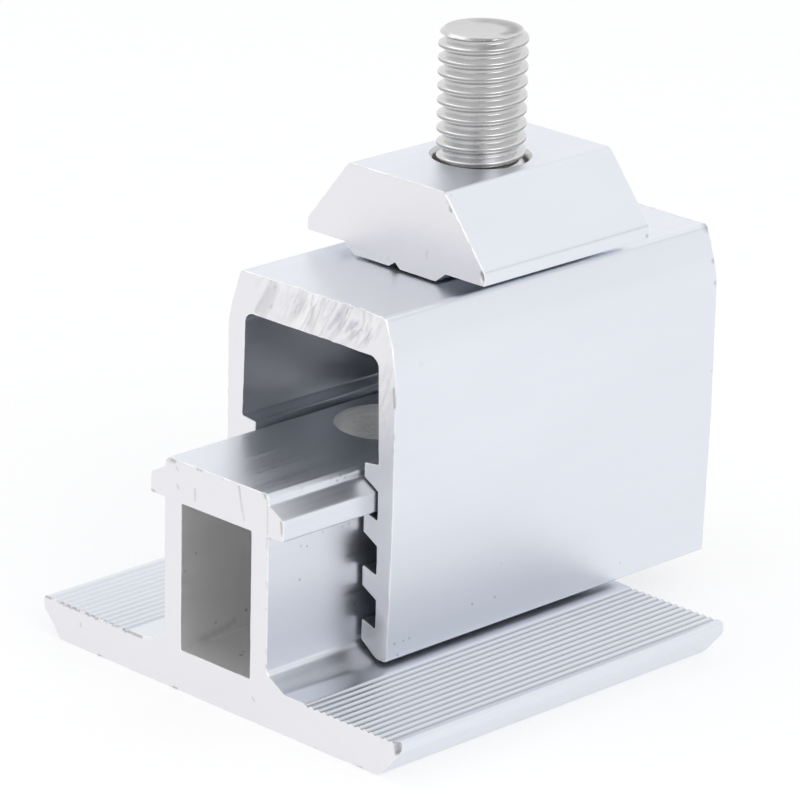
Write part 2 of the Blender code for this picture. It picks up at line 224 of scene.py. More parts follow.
# Finishes. A noise is given by its cells per millimetre along x, y and z, and its detail. Heights are in
# millimetres, and a drift is how far the roughness wanders either way.
finishes = {
    "skin": {
        "colour": (0.795, 0.822, 0.878),
        "metallic": 1.0,
        "roughness": 0.36,
        "lines": 0.5,
        "cloud": 0.03,
        # Dark colour for specks and for the painted shade in the rail's rib grooves
        "grimeAndShade": (0.36, 0.37, 0.39),
    },
    # The hollow's skin is a paler, neutral, less metallic copy of the outer skin: its pale colour is painted
    # light that stands in for light reaching into the hollow
    "hollow": {
        "colour": (0.94, 0.935, 0.935),
        "metallic": 0.84,
        "roughness": 0.42,
        "lines": 0.7,
        "cloud": 0.07,
        "grimeAndShade": (0.3, 0.3, 0.3),
        "specks": (
            # x, y, z, radius, darkness
            (-4.3, -12.38, 5.43, 0.24, 0.9), (-0.04, -16.9, 3.8, 0.3, 0.8),
            # The wide faint specks at x -4.3 and z 4.1 to 4.8 are painted shade, darkening the foot of the
            # hollow's left wall
            (-0.4, -16.3, 3.8, 0.22, 0.6), (-4.3, -17.6, 4.1, 0.8, 0.15),
            (-4.3, -16.9, 4.15, 0.75, 0.2), (-4.3, -16.1, 4.3, 0.7, 0.2),
            (-4.3, -15.3, 4.4, 0.7, 0.22), (-4.3, -14.5, 4.55, 0.65, 0.22),
            (-4.3, -13.8, 4.8, 0.6, 0.2), (-4.3, -15.9, 5.2, 0.25, 0.4),
            (-4.3, -18.3, 12.2, 0.2, 0.5), (-4.3, -19.5, 10.9, 0.2, 0.4),
        ),
    },
    # What the die leaves on both of them
    "die": {
        "lineNoise": (3.2, 0.03, 3.2, 4),
        "lineHeight": 0.004,
        "cloudNoise": (0.12, 0.05, 0.12, 3),
        "drift": 0.05,
    },
    "sawn": {
        "colour": (0.85, 0.84, 0.865),
        "roughness": 0.36,
        "drift": 0.05,
        "cloud": 0.03,
        "cloudNoise": (0.3, 0.3, 0.3, 4),
        "teeth": 0.6,
        "teethHeight": 0.006,
        "teethCells": 2.6,  # to a millimetre away from the middle of the blade
        "bladeAt": (-90, 0, -110),
        # Ramp of the torn streaks, painted shade and painted highlight: place and colour
        "ridgeShadeStreaks": ((0.36, (1.0, 1.0, 1.0)), (0.47, (0.87, 0.865, 0.875)), (0.66, (0.48, 0.48, 0.50))),
        # The torn streaks are painted shade and painted highlight on the torn ridges. They lean by degrees
        # about Y, and their size and shift are in millimetres
        "slant": 24,
        "streakSize": (0.66, 2.6, 2.8),
        "streakMove": (4.0, 0, 0),
        "waviness": 0.9,
        "stain": (0.30, 0.30, 0.31),
    },
    # Paler broken edges: partly wear, partly painted highlight
    "edge": {
        "colour": (0.93, 0.93, 0.94),
        "roughness": 0.34,
        "cloud": 0.02,
        "cloudNoise": (0.5, 0.5, 0.5, 2),
        "stain": (0.30, 0.30, 0.31),
    },
    "drilled": {
        "colour": (0.97, 0.97, 0.965),
        "metallic": 0.8,
        "roughness": 0.5,
        "cloud": 0.08,
        "rings": 1.0,
        "ringNoise": (0.9, 0.9, 3.2, 3),
        "ringHeight": 0.12,
    },
    "steel": {
        "colour": (0.64, 0.635, 0.635),
        "roughness": 0.22,
        "drift": 0.07,
        "cloud": 0.03,
        "grain": 0.25,
        "grainNoise": (1.1, 1.1, 2.2, 5),
        "grainHeight": 0.012,
        # Colours for the dull attribute, duller steel and painted shade, and for the worn attribute, wear and
        # painted highlight
        "dullAndShade": (0.27, 0.265, 0.265),
        "wearAndHighlight": (0.95, 0.95, 0.95),
    },
}


# Noise on Object coordinates, stretched by its cells along each axis
def stretchedNoise(tree, noise):
    *cells, detail = noise
    place = addNode(tree, "TexCoord", {}).outputs["Object"]
    stretch = addNode(tree, "Mapping", {"Vector": place, "Scale": [count / mm for count in cells]})
    inputs = {"Vector": stretch.outputs["Vector"], "Scale": 1.0, "Detail": detail}
    return addNode(tree, "TexNoise", inputs).outputs["Fac"]


# How far a place on Object coordinates is from one given in millimetres
def distanceFrom(tree, middle):
    place = addNode(tree, "TexCoord", {}).outputs["Object"]
    inputs = {0: place, 1: [part * mm for part in middle]}
    return addNode(tree, "VectorMath", inputs, operation="DISTANCE").outputs["Value"]


# A colour that drifts by a small share either side of the one given
def cloudedColour(tree, shader, s, fac):
    darker = [part * (1 - s["cloud"]) for part in s["colour"]]
    paler = [min(1, part * (1 + s["cloud"])) for part in s["colour"]]
    drift = addNode(tree, "Mix", {"A": (*darker, 1), "B": (*paler, 1), "Factor": fac}, data_type="RGBA")
    tree.links.new(drift.outputs["Result"], shader.inputs["Base Color"])


# Most of a noise lies between 0.3 and 0.7, and carries the roughness from one end of its drift to the other
def driftingRoughness(tree, shader, middle, drift, fac):
    drifting = remapped(tree, fac, (0.3, 0.7), (middle - drift, middle + drift))
    tree.links.new(drifting, shader.inputs["Roughness"])


def bumped(tree, shader, fac, strength, height):
    relief = addNode(tree, "Bump", {"Strength": strength, "Distance": height * mm, "Height": fac})
    tree.links.new(relief.outputs["Normal"], shader.inputs["Normal"])


# Lays a colour, or the socket that gives it, over the one that the shader has so far, by a factor
def overlaid(tree, shader, colour, fac):
    before = shader.inputs["Base Color"].links[0].from_socket
    over = addNode(tree, "Mix", {"A": before, "B": colour, "Factor": fac}, data_type="RGBA")
    tree.links.new(over.outputs["Result"], shader.inputs["Base Color"])


# A number that the mesh holds for each of its vertices
def meshValue(tree, name):
    return addNode(tree, "Attribute", {}, attribute_name=name).outputs["Fac"]


# Extruded and anodised: fine die lines run along Y, over a faint cloud. A speck is as dark as given at its
# place, and fades to nothing at its radius. The mesh's groove attribute says where painted shade darkens the
# grooves.
def extrudedSkin(name, s, specks):
    made, tree, shader = newMaterial(name, s["colour"], s["roughness"], s["metallic"])
    die = finishes["die"]
    lines = stretchedNoise(tree, die["lineNoise"])
    cloudedColour(tree, shader, s, stretchedNoise(tree, die["cloudNoise"]))
    driftingRoughness(tree, shader, s["roughness"], die["drift"], lines)
    bumped(tree, shader, lines, s["lines"], die["lineHeight"])
    grimeAndShade = (*s["grimeAndShade"], 1)
    for *middle, radius, darkness in specks:
        away = distanceFrom(tree, middle)
        overlaid(tree, shader, grimeAndShade, remapped(tree, away, (radius * mm, 0), (0, darkness), "SMOOTHSTEP"))
    # painted shade in the rail's rib grooves
    overlaid(tree, shader, grimeAndShade, meshValue(tree, "groove"))
    return made


# Sawn across: the blade's teeth leave shallow arcs round a centre far to one side. Where the mesh's torn
# attribute says so, wavy streaks of painted shade and painted highlight slant over the face, and its stain
# attribute darkens small stains and broad marks of painted shade.
def sawnEnd(name, s):
    made, tree, shader = newMaterial(name, s["colour"], s["roughness"])
    inputs = {"W": distanceFrom(tree, s["bladeAt"]), "Scale": s["teethCells"] / mm, "Detail": 3}
    arcs = addNode(tree, "TexNoise", inputs, noise_dimensions="1D")
    cloud = stretchedNoise(tree, s["cloudNoise"])
    cloudedColour(tree, shader, s, cloud)
    driftingRoughness(tree, shader, s["roughness"], s["drift"], cloud)
    bumped(tree, shader, arcs.outputs["Fac"], s["teeth"], s["teethHeight"])

    leaning = {
        "Vector": addNode(tree, "TexCoord", {}).outputs["Object"],
        "Location": [part * mm for part in s["streakMove"]],
        "Rotation": (0, math.radians(s["slant"]), 0),
        "Scale": [part * mm for part in s["streakSize"]],
    }
    lean = addNode(tree, "Mapping", leaning, vector_type="TEXTURE")
    inputs = {"Vector": lean.outputs["Vector"], "Scale": 1.0, "Detail": 3, "Distortion": s["waviness"]}
    ridgeShadeStreaks = addNode(tree, "ValToRGB", {"Fac": addNode(tree, "TexNoise", inputs).outputs["Fac"]})
    ridgeShadeStreaks.color_ramp.elements.new(0.5)
    for element, (position, colour) in zip(ridgeShadeStreaks.color_ramp.elements, s["ridgeShadeStreaks"]):
        element.position = position
        element.color = (*colour, 1)
    # painted shade and painted highlight of the torn ridges
    overlaid(tree, shader, ridgeShadeStreaks.outputs["Color"], meshValue(tree, "torn"))
    # small stains, and broad painted shade on the riser's leg
    overlaid(tree, shader, (*s["stain"], 1), meshValue(tree, "stain"))
    return made


# The broken edge round a sawn end is paler than the face, partly wear and partly a painted highlight, and it
# takes the stains and painted shade of the face beside it
def brokenEdgeWearAndHighlight(name, s):
    made, tree, shader = newMaterial(name, s["colour"], s["roughness"])
    cloudedColour(tree, shader, s, stretchedNoise(tree, s["cloudNoise"]))
    overlaid(tree, shader, (*s["stain"], 1), meshValue(tree, "stain"))
    return made


# Drilled: uneven bands round the drill's axis, each longer than it is high
def drilledWall(name, s):
    made, tree, shader = newMaterial(name, s["colour"], s["roughness"], s["metallic"])
    rings = stretchedNoise(tree, s["ringNoise"])
    cloudedColour(tree, shader, s, rings)
    bumped(tree, shader, rings, s["rings"], s["ringHeight"])
    return made


# Rolled steel with a fine grain: the mesh's dull attribute darkens it, partly duller steel and partly painted
# shade, and its worn attribute brightens it, partly wear and partly painted highlight
def rolledSteel(name, s):
    made, tree, shader = newMaterial(name, s["colour"], s["roughness"])
    grain = stretchedNoise(tree, s["grainNoise"])
    cloudedColour(tree, shader, s, grain)
    overlaid(tree, shader, (*s["dullAndShade"], 1), meshValue(tree, "dullAndShade"))
    overlaid(tree, shader, (*s["wearAndHighlight"], 1), meshValue(tree, "wearAndHighlight"))
    driftingRoughness(tree, shader, s["roughness"], s["drift"], grain)
    bumped(tree, shader, grain, s["grain"], s["grainHeight"])
    return made


# the hollow's skin, painted lighter than the outer skin
hollowPaintedLightSkin = extrudedSkin("anodisedHollowPaintedLight", finishes["hollow"], finishes["hollow"]["specks"])
sawn = sawnEnd("sawnAluminium", finishes["sawn"])
wornEdgeAndHighlight = brokenEdgeWearAndHighlight("brokenEdgeWearAndHighlight", finishes["edge"])
drilled = drilledWall("drilledAluminium", finishes["drilled"])
steel = rolledSteel("boltSteel", finishes["steel"])
bare = [sawn, wornEdgeAndHighlight, drilled, hollowPaintedLightSkin]  # what every bar has after its own skin
skinIndex, sawnIndex, edgeIndex, drilledIndex, hollowIndex = range(5)
print("finishes are mixed")


# Value noise: seeded heights from -1 to 1 on whole-number places, blended by 3 f^2 - 2 f^3 between them
def latticeNoise(u, v, seed):
    size = 256
    heights = np.random.default_rng(seed).uniform(-1, 1, (size, size))
    left, below = np.floor(u).astype(int), np.floor(v).astype(int)
    across, up = u - left, v - below
    across, up = across * across * (3 - 2 * across), up * up * (3 - 2 * up)
    left, right, below, above = left % size, (left + 1) % size, below % size, (below + 1) % size
    low = heights[left, below] * (1 - across) + heights[right, below] * across
    high = heights[left, above] * (1 - across) + heights[right, above] * across
    return low * (1 - up) + high * up


# Corners (x, z, radius) joined by straight lines. A corner with a radius becomes an arc that touches both of
# its sides: start + radius * (sin(angle) along the side + (1 - cos(angle)) across it). Arcs that would
# overlap on a side shrink to share 98% of it.
def roundedRun(corners, arcStep):
    places = np.array([corner[:2] for corner in corners], float)
    radii = np.array([corner[2] for corner in corners], float)
    sides = np.diff(places, axis=0)
    lengths = np.linalg.norm(sides, axis=1)
    along = sides / lengths[:, None]
    cross = along[:-1, 0] * along[1:, 1] - along[:-1, 1] * along[1:, 0]
    turns = np.arctan2(cross, (along[:-1] * along[1:]).sum(1))
    tangents = np.zeros(len(places))
    tangents[1:-1] = radii[1:-1] * np.abs(np.tan(turns / 2))
    share = np.minimum(1, 0.98 * lengths / np.maximum(tangents[:-1] + tangents[1:], 1e-9))
    tangents[1:-1] *= np.minimum(share[:-1], share[1:])

    run = [places[:1]]
    for index, turn in enumerate(turns, start=1):
        tangent = tangents[index]
        if tangent < 1e-6:
            run.append(places[index:index + 1])
            continue
        radius = tangent / abs(math.tan(turn / 2))
        forward = along[index - 1]
        across = np.array((-forward[1], forward[0])) * np.sign(turn)
        angles = np.linspace(0, abs(turn), max(2, math.ceil(math.degrees(abs(turn)) / arcStep)) + 1)
        arc = radius * (np.sin(angles)[:, None] * forward + (1 - np.cos(angles))[:, None] * across)
        run.append(places[index] - forward * tangent + arc)
    run.append(places[-1:])
    return np.vstack(run)


# The same run with points added at equal steps along each straight stretch longer than the longest step
def resampled(run, longest):
    pieces = np.diff(run, axis=0)
    counts = np.maximum(1, np.ceil(np.linalg.norm(pieces, axis=1) / longest)).astype(int)
    steps = np.repeat(pieces / counts[:, None], counts, axis=0)
    order = np.arange(counts.sum()) - np.repeat(np.cumsum(counts) - counts, counts)
    return np.vstack([np.repeat(run[:-1], counts, axis=0) + steps * order[:, None], run[-1:]])


# A right-hand run that starts and ends on the middle line, closed by its mirror image
def mirroredLoop(run):
    return np.vstack([run, (run[::-1] * (-1, 1))[1:-1]])


# Outward direction at each point of a loop that has its metal on the left: the mean of the two sides'
# right-hand normals, made longer at a corner so that an inset keeps its width
def outwardAt(loop):
    sharpest = 0.6  # stops a very sharp corner from reaching too far
    sides = np.roll(loop, -1, axis=0) - loop
    sides /= np.linalg.norm(sides, axis=1)[:, None]
    normals = np.stack([sides[:, 1], -sides[:, 0]], 1)
    before = np.roll(normals, 1, axis=0)
    return (normals + before) / np.maximum(1 + (normals * before).sum(1), sharpest)[:, None]


# Even-odd rule: a place is inside where a ray towards +x crosses the loops' sides an odd number of times
def insideLoops(places, loops):
    blockSize = 4000  # places tested at a time, to save memory
    odd = np.zeros(len(places), bool)
    for loop in loops:
        following = np.roll(loop, -1, axis=0)
        width, rise = (following - loop).T
        rise = np.where(rise == 0, 1, rise)
        for start in range(0, len(places), blockSize):
            block = slice(start, start + blockSize)
            x, z = places[block, :1], places[block, 1:]
            spans = (loop[:, 1] > z) != (following[:, 1] > z)
            meets = loop[:, 0] + (z - loop[:, 1]) * width / rise
            odd[block] ^= (spans & (x < meets)).sum(1) % 2 == 1
    return odd


# Points of a jittered triangular lattice that lie inside the loops, and the triangles that join them to the
# loops. The first points of the result are the loops' own.
def fillSection(loops, spacing, seed):
    rowShare, jitter, clearance = 0.866, 0.22, 0.55  # all as shares of the spacing
    low = np.vstack(loops).min(0)
    high = np.vstack(loops).max(0)
    rows, columns = ((high - low)[::-1] / (spacing * rowShare, spacing)).astype(int) + 1
    row, column = np.meshgrid(np.arange(rows), np.arange(columns), indexing="ij")
    lattice = np.stack([(column + 0.5 * (row % 2)) * spacing, row * spacing * rowShare], -1)
    lattice = lattice.reshape(-1, 2) + low
    lattice += np.random.default_rng(seed).uniform(-jitter, jitter, lattice.shape) * spacing
    clear = [loop - outwardAt(loop) * clearance * spacing for loop in loops]
    lattice = lattice[insideLoops(lattice, clear) & insideLoops(lattice, loops)]
    starts = np.cumsum([0] + [len(loop) for loop in loops])
    numbers = [start + np.arange(len(loop)) for start, loop in zip(starts, loops)]
    rims = np.vstack([np.stack([number, np.roll(number, -1)], 1) for number in numbers])
    places = np.vstack([*loops, lattice])
    joined = delaunay_2d_cdt(places.tolist(), rims.tolist(), [], 0, 1e-5, True)
    triangles, origins = np.array(joined[2]), np.fromiter(map(min, joined[3]), int)
    triangles = origins[triangles]
    kept = insideLoops(places[triangles].mean(1), loops)
    return places, triangles[kept]


# Quads between neighbouring rows of a grid whose columns close on themselves, in an order that faces outwards
def ringQuads(rows, columns):
    row, column = np.meshgrid(np.arange(rows - 1), np.arange(columns), indexing="ij")
    here, below = row * columns, (row + 1) * columns
    following = (column + 1) % columns
    quads = [here + column, below + column, below + following, here + following]
    return np.stack(quads, -1).reshape(-1, 4)


# What all sawn faces share
cutting = {
    "tearLean": 0.45,
    "tearEdge": 1.6,  # how firmly a torn patch begins at its rim
    "patchShares": (0.15, 0.65),  # least and middle share of a torn patch that the streaks cover
    # The broken edge's width as a share of edgeRound: its middle, its spread, and the noise's step and seed
    "nicks": (0.75, 0.6, 0.31, 5),
    "noises": {
        # amplitude, size across and up, shift of the lattice, and what is added to the bar's seed
        "swell": (0.5, 1.7, 2.3, 40, 0),
        "nibble": (1, 0.4, 0.4, 90, 7),
        "wander": (0.4, 1.4, 1.5, 70, 19),
        "ridges": (0.6, 0.75, 3.4, 60, 11),
        "fineRidges": (0.3, 0.28, 1.7, 60, 13),
        "patches": (0.8, 1.9, 4, 30, 17),
    },
}


def faceNoise(called, x, z, seed):
    amplitude, across, up, shift, added = cutting["noises"][called]
    return amplitude * latticeNoise(x / across + shift, z / up + shift, seed + added)


# Shallow swells over a whole sawn face, and torn patches where the metal broke away in slanting ridges. Each
# patch fades from its middle as 1 - (distance over its half width and half height) squared. Stains are lines,
# dark as 1 - (distance from the line over its half width) squared; the widest, on the riser's leg, are
# painted shade. Gives depth, torn share, and the darkness of stains and painted shade.
def sawnFace(x, z, end, s):
    seed = s["seed"] + end
    depth = s["swell"] * (0.5 + faceNoise("swell", x, z, seed))
    depth = depth + s["nibble"] * np.abs(faceNoise("nibble", x, z, seed))
    slant = x - cutting["tearLean"] * z + faceNoise("wander", x, z, seed)
    ridges = 0.5 + faceNoise("ridges", slant, z, seed) + faceNoise("fineRidges", slant, z, seed)
    ridges = np.clip(ridges, 0, 1)
    least, middle = cutting["patchShares"]
    patches = np.clip(middle + faceNoise("patches", slant, z, seed), least, 1)
    torn = np.zeros(len(x))
    for middleX, middleZ, halfWidth, halfHeight, deep, ridged in s["torn"][end]:
        away = ((x - middleX) / halfWidth) ** 2 + ((z - middleZ) / halfHeight) ** 2
        share = np.clip(cutting["tearEdge"] * (1 - away), 0, 1)
        depth = depth + deep * share * (1 - ridged + ridged * ridges)
        torn = np.maximum(torn, share * ridged * patches)
    stain = np.zeros(len(x))
    for startX, startZ, endX, endZ, halfWidth, darkness in s["stainsAndShade"][end]:
        alongX, alongZ = endX - startX, endZ - startZ
        reach = ((x - startX) * alongX + (z - startZ) * alongZ) / (alongX ** 2 + alongZ ** 2)
        reach = np.clip(reach, 0, 1)
        away = np.hypot(x - startX - reach * alongX, z - startZ - reach * alongZ) / halfWidth
        stain = np.maximum(stain, darkness * np.clip(1 - away ** 2, 0, 1))
    return np.stack([depth, torn, stain])


# A bar is its section's loops carried along Y. The rings stand close together at both ends, where the edge is
# rounded by offset = r (1 - cos t), inset = r (1 - sin t). The sawn faces sink by the depth that sawnFace
# gives, and the sides beside them by exp(-distance / fade) of it.
def sweepBar(loops, loopIndices, low, high, s):
    quarter = np.radians((0, 45, 90))
    further = np.array(s["stations"])
    further = further[further < (high - low) / 2]
    offsets = np.concatenate([(1 - np.cos(quarter)) * s["edgeRound"], further])
    insets = np.concatenate([1 - np.sin(quarter), np.zeros(len(further))])
    places = np.concatenate([offsets, high - low - offsets[::-1]])
    insets = np.concatenate([insets, insets[::-1]])
    ends = np.repeat((0, 1), len(offsets))
    distance = np.minimum(places, high - low - places)
    fading = np.exp(-distance / s["fade"])[:, None, None]
    inwards = np.where(ends == 0, 1, -1)[:, None]
    nickMiddle, nickSpread, nickStep, nickSeed = cutting["nicks"]

    vertices, faces, indices, marks = [], [], [], []
    rims = [[], []]
    total = 0
    for loop, skinSlot in zip(loops, loopIndices):
        count = len(loop)
        nicks = latticeNoise(np.arange(count) * nickStep, np.zeros(count), s["seed"] + nickSeed)
        outward = outwardAt(loop) * (s["edgeRound"] * (nickMiddle + nickSpread * nicks))[:, None]
        found = np.stack([sawnFace(loop[:, 0], loop[:, 1], end, s) for end in (0, 1)])
        faded = found[ends] * fading
        marks.append(np.moveaxis(faded, 1, 2).reshape(-1, 3))
        grid = np.empty((len(places), count, 3))
        grid[:, :, 0] = loop[:, 0] - insets[:, None] * outward[:, 0]
        grid[:, :, 1] = low + places[:, None] + inwards * faded[:, 0]
        grid[:, :, 2] = loop[:, 1] - insets[:, None] * outward[:, 1]
        vertices.append(grid.reshape(-1, 3))
        faces += (ringQuads(len(places), count) + total).tolist()
        slots = np.full(len(places) - 1, skinSlot)
        slots[[0, 1, -2, -1]] = edgeIndex
        indices.append(np.repeat(slots, count))
        rims[0].append(total + np.arange(count))
        rims[1].append(total + (len(places) - 1) * count + np.arange(count))
        total += len(places) * count

    sides = np.vstack(vertices)
    for end in (0, 1):
        rim = np.concatenate(rims[end])
        rimLoops = [sides[part][:, (0, 2)] for part in rims[end]]
        section, triangles = fillSection(rimLoops, s["grain"], s["seed"] + end)
        inner = section[len(rim):]
        found = sawnFace(inner[:, 0], inner[:, 1], end, s)
        marks.append(found.T)
        y = low + found[0] if end == 0 else high - found[0]
        vertices.append(np.stack([inner[:, 0], y, inner[:, 1]], 1))
        numbered = np.concatenate([rim, total + np.arange(len(inner))])[triangles]
        corners = section[triangles]
        first, second = corners[:, 1] - corners[:, 0], corners[:, 2] - corners[:, 0]
        forwards = (first[:, 0] * second[:, 1] - first[:, 1] * second[:, 0] > 0) == (end == 0)
        faces += np.where(forwards[:, None], numbered, numbered[:, ::-1]).tolist()
        indices.append(np.full(len(numbered), sawnIndex))
        total += len(inner)
    marks = np.vstack(marks)
    return np.vstack(vertices), faces, np.concatenate(indices), {"torn": marks[:, 1], "stain": marks[:, 2]}


def makeMesh(name, vertices, faces, indices, attributes, materials):
    mesh = bpy.data.meshes.new(name)
    mesh.from_pydata((vertices * mm).tolist(), [], faces)
    for material in materials:
        mesh.materials.append(material)
    mesh.polygons.foreach_set("material_index", indices.astype(np.int32))
    for called, values in attributes.items():
        layer = mesh.attributes.new(called, "FLOAT", "POINT")
        layer.data.foreach_set("value", values.astype(np.float32))
    mesh.update()
    return mesh


# A grid whose first and last rows are each one place becomes a closed skin, with a fan of triangles at both
# of its ends
def closedGrid(name, grid, indices, attributes, materials):
    rows, columns = grid.shape[:2]
    vertices = np.vstack([grid[0, :1], grid[1:-1].reshape(-1, 3), grid[-1, :1]])
    first = 1 + np.arange(columns)
    last = first + (rows - 3) * columns
    faces = np.stack([np.zeros(columns, int), first, np.roll(first, -1)], 1).tolist()
    faces += (ringQuads(rows - 2, columns) + 1).tolist()
    faces += np.stack([last, np.full(columns, len(vertices) - 1), np.roll(last, -1)], 1).tolist()
    joined = {
        called: np.concatenate([values[0, :1], values[1:-1].ravel(), values[-1, :1]])
        for called, values in attributes.items()
    }
    return makeMesh(name, vertices, faces, indices, joined, materials)


# A drill is a surface of revolution about a vertical axis, closed by a point at each end. Its radius is
# bore + flare - |chatter|: the flare widens it at the bar's two faces, and the chatter is noise over height
# and angle.
def drillMesh(name, s, materials):
    chatterWaves = 3, 4  # to a millimetre of height and to a radian
    heights = np.concatenate([[s["low"]], np.linspace(s["low"], s["high"], s["rows"]), [s["high"]]])
    columns = s["columns"]
    angles = np.arange(columns) * 2 * np.pi / columns
    under = np.clip(s["bottom"] + s["flares"][0] - heights, 0, s["flares"][0])
    over = np.clip(heights - s["top"] + s["flares"][1], 0, s["flares"][1])
    noise = latticeNoise(heights[:, None] * chatterWaves[0], angles * chatterWaves[1], s["seed"])
    radius = s["radius"] + (under + over)[:, None] - np.abs(noise * s["chatter"])
    radius[0] = radius[-1] = 0
    grid = np.empty((len(heights), columns, 3))
    grid[:, :, 0] = s["x"] + radius * np.cos(angles)
    grid[:, :, 1] = s["y"] + radius * np.sin(angles)
    grid[:, :, 2] = heights[:, None]
    return closedGrid(name, grid[::-1], np.full((len(heights) - 1) * columns, drilledIndex), {}, materials)


# The bar's mesh with the drill's volume taken out of it, and no faces left that have no area
def drilledMesh(name, mesh, drill):
    tiny = 0.0002 * mm
    bar = bpy.data.objects.new("bar", mesh)
    bit = bpy.data.objects.new("bit", drill)
    for part in (bar, bit):
        bpy.context.scene.collection.objects.link(part)
    bore = bar.modifiers.new("bore", "BOOLEAN")
    bore.operation = "DIFFERENCE"
    bore.solver = "EXACT"
    bore.object = bit
    evaluated = bar.evaluated_get(bpy.context.evaluated_depsgraph_get())
    cut = bpy.data.meshes.new_from_object(evaluated)
    for part in (bar, bit):
        bpy.data.objects.remove(part, do_unlink=True)
    clean = bmesh.new()
    clean.from_mesh(cut)
    bmesh.ops.dissolve_degenerate(clean, dist=tiny, edges=clean.edges)
    clean.to_mesh(cut)
    clean.free()
    cut.name = name
    return cut


def addPiece(name, mesh, body, node, smoothUpTo):
    mesh.shade_smooth()
    mesh.set_sharp_from_angle(angle=math.radians(smoothUpTo))
    piece = bpy.data.objects.new(name, mesh)
    bpy.context.scene.collection.objects.link(piece)
    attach(piece, body)
    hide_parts(node)
    print(name, "has", len(mesh.polygons), "faces")


# A swept bar gets its own skin ahead of the finishes that all bars share, and its drilled hole
def addBar(name, called, shape, s, body, node):
    aluminium = [extrudedSkin(called + "Skin", finishes["skin"], s["specks"]), *bare]
    drawn = makeMesh(called + "Drawn", *shape, aluminium)
    mesh = drilledMesh(name, drawn, drillMesh(called + "Drill", s["hole"], aluminium))
    addPiece(name, mesh, body, node, 40)


